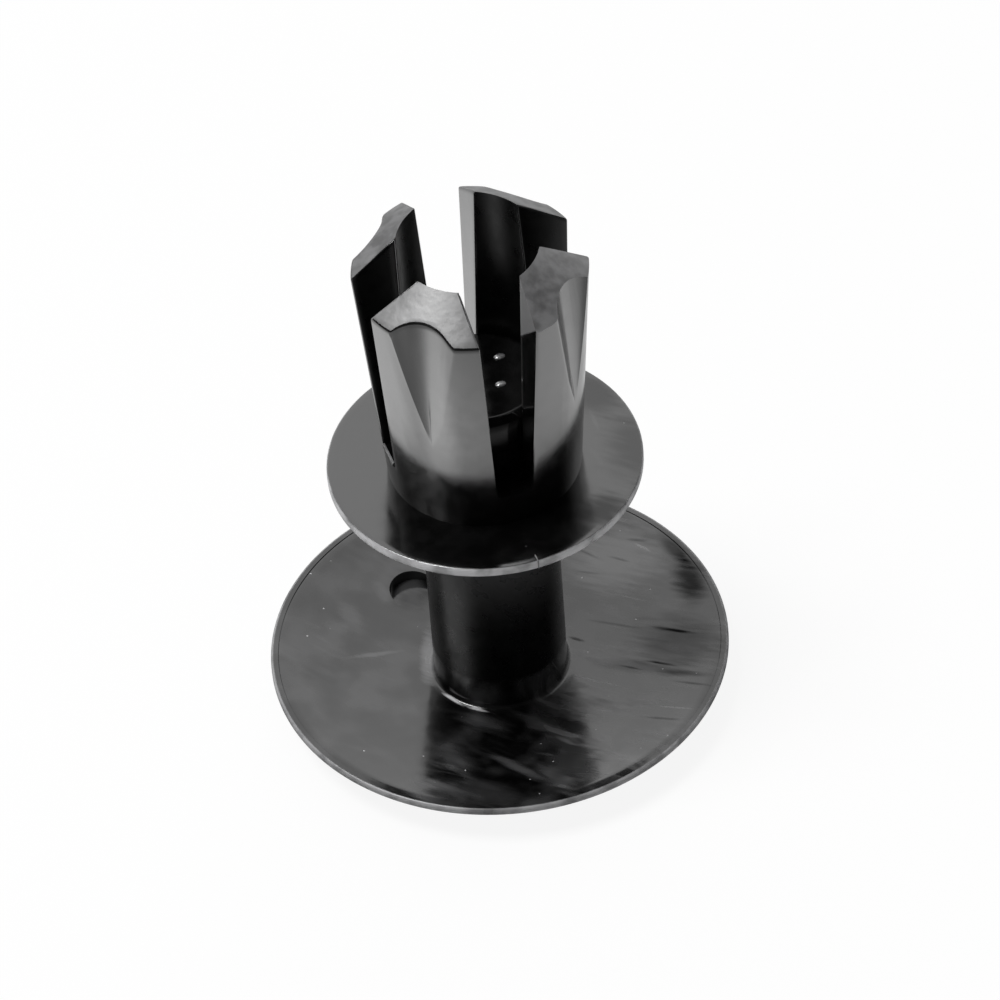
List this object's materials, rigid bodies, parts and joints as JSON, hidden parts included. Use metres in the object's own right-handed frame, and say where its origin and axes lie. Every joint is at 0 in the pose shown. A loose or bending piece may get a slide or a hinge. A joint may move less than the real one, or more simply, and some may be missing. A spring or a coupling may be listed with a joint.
{
  "type": "trim clip",
  "caption": "Push-in trim clip: a pin with a wide dished head carries a collared sleeve of slotted, fluted snap fingers that grips a panel hole once the pin is pushed home.",
  "frame": {"origin": "centre of the flat on the back of the head, on the clip's axis", "axes": "+Z along the clip's axis from the head towards the finger tips; the slots face +X, -X, +Y and -Y"},
  "size_m": [0.02, 0.02, 0.0255],
  "materials": {
    "pin_plastic": "black moulded plastic, satin gloss, scuffed",
    "sleeve_plastic": "black moulded plastic, satin gloss"
  },
  "bodies": {
    "pin": {"pin": "pin_plastic"},
    "sleeve": {"sleeve": "sleeve_plastic"}
  },
  "joints": [
    {"name": "push_home", "type": "slide", "parent": "pin", "child": "sleeve", "axis": [0, 0, -1], "range_m": [0, 0.0114]}
  ]
}
